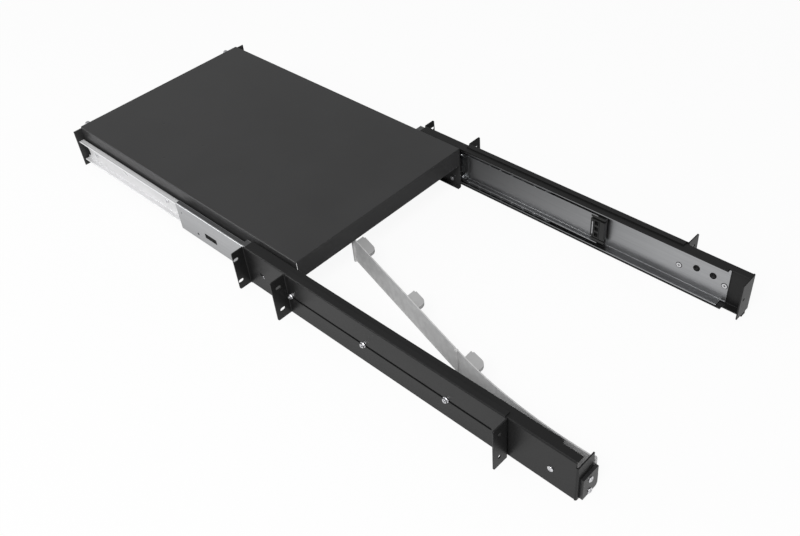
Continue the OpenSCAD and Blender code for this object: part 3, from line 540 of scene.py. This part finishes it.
def cylinder_across(middle, radius, depth):
    """A cylinder along X round a point."""
    bpy.ops.object.select_all(action="DESELECT")
    bpy.ops.mesh.primitive_cylinder_add(vertices=40, radius=radius, depth=depth, location=middle,
                                        rotation=(0, radians(90), 0))
    cylinder = bpy.context.object
    bpy.ops.object.transform_apply(location=True, rotation=True, scale=True)
    return cylinder


def turned(side, place, radius, height, bore=0):
    """A disc or ring that stands on the inner face of the fixed member's web."""
    middle = (side * (cabinet_web - height / 2), *place)
    disc = cylinder_across(middle, radius, height)
    if bore:
        cut_away(disc, cylinder_across(middle, bore, 3 * height))
    return disc


def mount_on_web(piece, name, end, edge, material):
    piece.name = name
    break_edges(piece, edge)
    piece.data.materials.append(material)
    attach(piece, body_of_node["cabinet_member_" + end])


collar_places = ((0.582, 0.0035), (0.5545, 0.0035))
collar_radius = 0.0054
collar_bore = 0.00325
collar_height = 0.0009
screw_places = ((0.040, -0.0055), (0.526, -0.0055), (0.602, -0.0055))
shade_ring_radius = 0.0053
shade_ring_height = 0.0002
face_radius = 0.0043
face_height = 0.0006
face_cross_depth = 0.0005
for side, end in ((1, "right"), (-1, "left")):
    # Collars and the thin discs under the screw faces take the near-black plastic as painted shade.
    for number, place in enumerate(collar_places, 1):
        collar = turned(side, place, collar_radius, collar_height, collar_bore)
        mount_on_web(collar, f"thread_collar_{end}_{number}", end, 0.0003, dark_plastic_and_painted_shade)
    for number, place in enumerate(screw_places, 1):
        shade_ring = turned(side, place, shade_ring_radius, shade_ring_height)
        mount_on_web(shade_ring, f"screw_shade_ring_{end}_{number}", end, 0.00005, dark_plastic_and_painted_shade)
        face = turned(side, place, face_radius, face_height)
        cross_place = (side * (cabinet_web - face_height), *place)
        cut_away(face, cross_cutter(cross_place, 0, face_cross_depth))
        mount_on_web(face, f"screw_face_{end}_{number}", end, 0.00015, zinc)


# Tray
# One folded steel sheet with a satin black coat, screwed to the two tray members. Its
# top is slightly dished in four places.

tray_paint = powder_coat("tray_paint", (0.033, 0.033, 0.0335), 0.38, 0.25, 0.2)
tray = dressed_copy("shelf_tray")
tray_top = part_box("shelf_tray")[1][2]
folded_edge = 0.0003
dish_places = ((0.085, -0.397), (0.0844, -0.275), (0.152, -0.302), (0.0898, -0.1605))
dish_depth = 0.0004
ball_radius = 0.012
for x, y in dish_places:
    bpy.ops.object.select_all(action="DESELECT")
    bpy.ops.mesh.primitive_uv_sphere_add(segments=32, ring_count=24, radius=ball_radius,
                                         location=(x, y, tray_top + ball_radius - dish_depth))
    dish = bpy.context.object
    bpy.ops.object.transform_apply(location=True, rotation=True, scale=True)
    cut_away(tray, dish)
break_edges(tray, folded_edge)
finish(tray, "shelf_tray", tray_paint)


# Front panel and knobs
# A coated steel plate across the tray's front, and two turned steel knobs that screws
# hold from behind.

dress("front_panel", tray_paint, folded_edge)
knob_steel = bright_steel("knob_steel", (0.75, 0.76, 0.78), 0.25)
dress("panel_knobs", knob_steel, 0.0006)


# Cable arm
# A straight and a bowed band of dull plated steel on hinge pins, with grey plastic
# clips that hold the cables.

arm_steel, tree, shader = material_tree("arm_band")
mottle = object_noise(tree, 90, 6)
tree.links.new(two_colours(tree, ramp(tree, mottle, 0.35, 0.65, 0, 1), (0.56, 0.56, 0.56),
                           (0.66, 0.66, 0.66)), shader.inputs["Base Color"])
tree.links.new(ramp(tree, mottle, 0.3, 0.7, 0.42, 0.56), shader.inputs["Roughness"])
shader.inputs["Metallic"].default_value = 0.15
bump(tree, shader, mottle, 0.05, 0.0002)
for name in ("arm_front_link", "arm_rear_link"):
    dress(name, arm_steel, coat_edge)
dress("arm_tray_bracket", arm_steel, coat_edge)
clip_plastic = plastic("clip_plastic", (0.42, 0.42, 0.42), 0.5)
for name in ("front_link_clips", "rear_link_clip"):
    dress(name, clip_plastic, coat_edge)
for name in ("elbow_pin", "arm_hinge_pin"):
    dress(name, arm_steel, coat_edge)


# Hinge plate
# A thick coated plate that two screws hold on the right channel's rear flange.

plate_paint = powder_coat("hinge_plate_paint", (0.016, 0.016, 0.017), 0.4, 0.5)
dress("arm_hinge_plate", plate_paint, coat_edge)


# Floor, lights and camera
# A pale floor under the shelf, one soft light high on the right and a weak one low at
# the front, and the camera where the photograph was taken.

def larger(tree, first, second):
    node = tree.nodes.new("ShaderNodeMath")
    node.operation = "MAXIMUM"
    tree.links.new(first, node.inputs[0])
    tree.links.new(second, node.inputs[1])
    return node.outputs["Value"]


floor_z = cad_box[0][2]
bpy.ops.object.select_all(action="DESELECT")
bpy.ops.mesh.primitive_plane_add(size=30, location=(0, 0, floor_z))
floor = bpy.context.object
floor.name = "floor"
material, tree, shader = material_tree("floor_white")
shader.inputs["Base Color"].default_value = (0.8, 0.8, 0.8, 1)
shader.inputs["Roughness"].default_value = 0.9
shader.inputs["Specular IOR Level"].default_value = 0
seen = tree.nodes.new("ShaderNodeLightPath")
white = tree.nodes.new("ShaderNodeEmission")
share = tree.nodes.new("ShaderNodeMath")
share.operation = "MULTIPLY"
share.inputs[1].default_value = 0.93
blend = tree.nodes.new("ShaderNodeMixShader")
tree.links.new(seen.outputs["Is Camera Ray"], share.inputs[0])
tree.links.new(share.outputs["Value"], blend.inputs["Fac"])
tree.links.new(shader.outputs["BSDF"], blend.inputs[1])
tree.links.new(white.outputs["Emission"], blend.inputs[2])
# In glossy and transmission rays the floor shows an emission instead of its lit surface: painted
# shadow, dark under the shelf's middle, and painted light, bright on the right and behind, which steel
# and paint mirror as a painted reflection.
place = tree.nodes.new("ShaderNodeTexCoord")
split = tree.nodes.new("ShaderNodeSeparateXYZ")
tree.links.new(place.outputs["Object"], split.inputs["Vector"])
painted_reflection = tree.nodes.new("ShaderNodeEmission")
beside = ramp(tree, split.outputs["X"], 0.13, 0.25, 0.15, 0.95)
behind = ramp(tree, split.outputs["Y"], 0.1, 0.5, 0.15, 0.8)
tree.links.new(larger(tree, beside, behind), painted_reflection.inputs["Strength"])
glossy = tree.nodes.new("ShaderNodeMixShader")
tree.links.new(larger(tree, seen.outputs["Is Glossy Ray"], seen.outputs["Is Transmission Ray"]),
               glossy.inputs["Fac"])
tree.links.new(blend.outputs["Shader"], glossy.inputs[1])
tree.links.new(painted_reflection.outputs["Emission"], glossy.inputs[2])
tree.links.new(glossy.outputs["Shader"], tree.nodes["Material Output"].inputs["Surface"])
floor.data.materials.append(material)

world = bpy.data.worlds.new("studio")
bpy.context.scene.world = world
world.use_nodes = True
tree = world.node_tree
sky = tree.nodes["Background"]
sky.inputs["Color"].default_value = (1, 1, 1, 1)
seen = tree.nodes.new("ShaderNodeLightPath")
strength = tree.nodes.new("ShaderNodeMapRange")
strength.inputs["To Min"].default_value = 0.4
strength.inputs["To Max"].default_value = 1
tree.links.new(seen.outputs["Is Camera Ray"], strength.inputs["Value"])
tree.links.new(strength.outputs["Result"], sky.inputs["Strength"])


def soft_light(name, place, target, size, power):
    bpy.ops.object.light_add(type="AREA", location=place)
    lamp = bpy.context.object
    lamp.name = name
    lamp.data.shape = "RECTANGLE"
    lamp.data.size = size[0]
    lamp.data.size_y = size[1]
    lamp.data.energy = power
    aim = Vector(target) - Vector(place)
    lamp.rotation_euler = aim.to_track_quat("-Z", "Y").to_euler()


soft_light("key", (1.8, 1.0, 2.4), (0, 0.1, 0), (1.2, 1.2), 62)
soft_light("rim", (1.45, -1.4, 0.85), (0.1, 0, 0), (1.2, 0.8), 12)

camera_place = Vector((0.78349, 0.98929, 0.95164))
camera_right = Vector((-0.68825, 0.72107, -0.07979))
camera_up = Vector((-0.52403, -0.41807, 0.74203))
camera_back = Vector((0.50170, 0.55251, 0.66560))
camera_data = bpy.data.cameras.new("camera")
camera_data.sensor_fit = "HORIZONTAL"
camera_data.sensor_width = 36
camera_data.lens = 40.91
camera = bpy.data.objects.new("camera", camera_data)
bpy.context.scene.collection.objects.link(camera)
turn = Matrix((camera_right, camera_up, camera_back)).transposed()
camera.matrix_world = Matrix.LocRotScale(camera_place, turn.to_quaternion(), None)
bpy.context.scene.camera = camera
bpy.context.scene.view_settings.view_transform = "Standard"
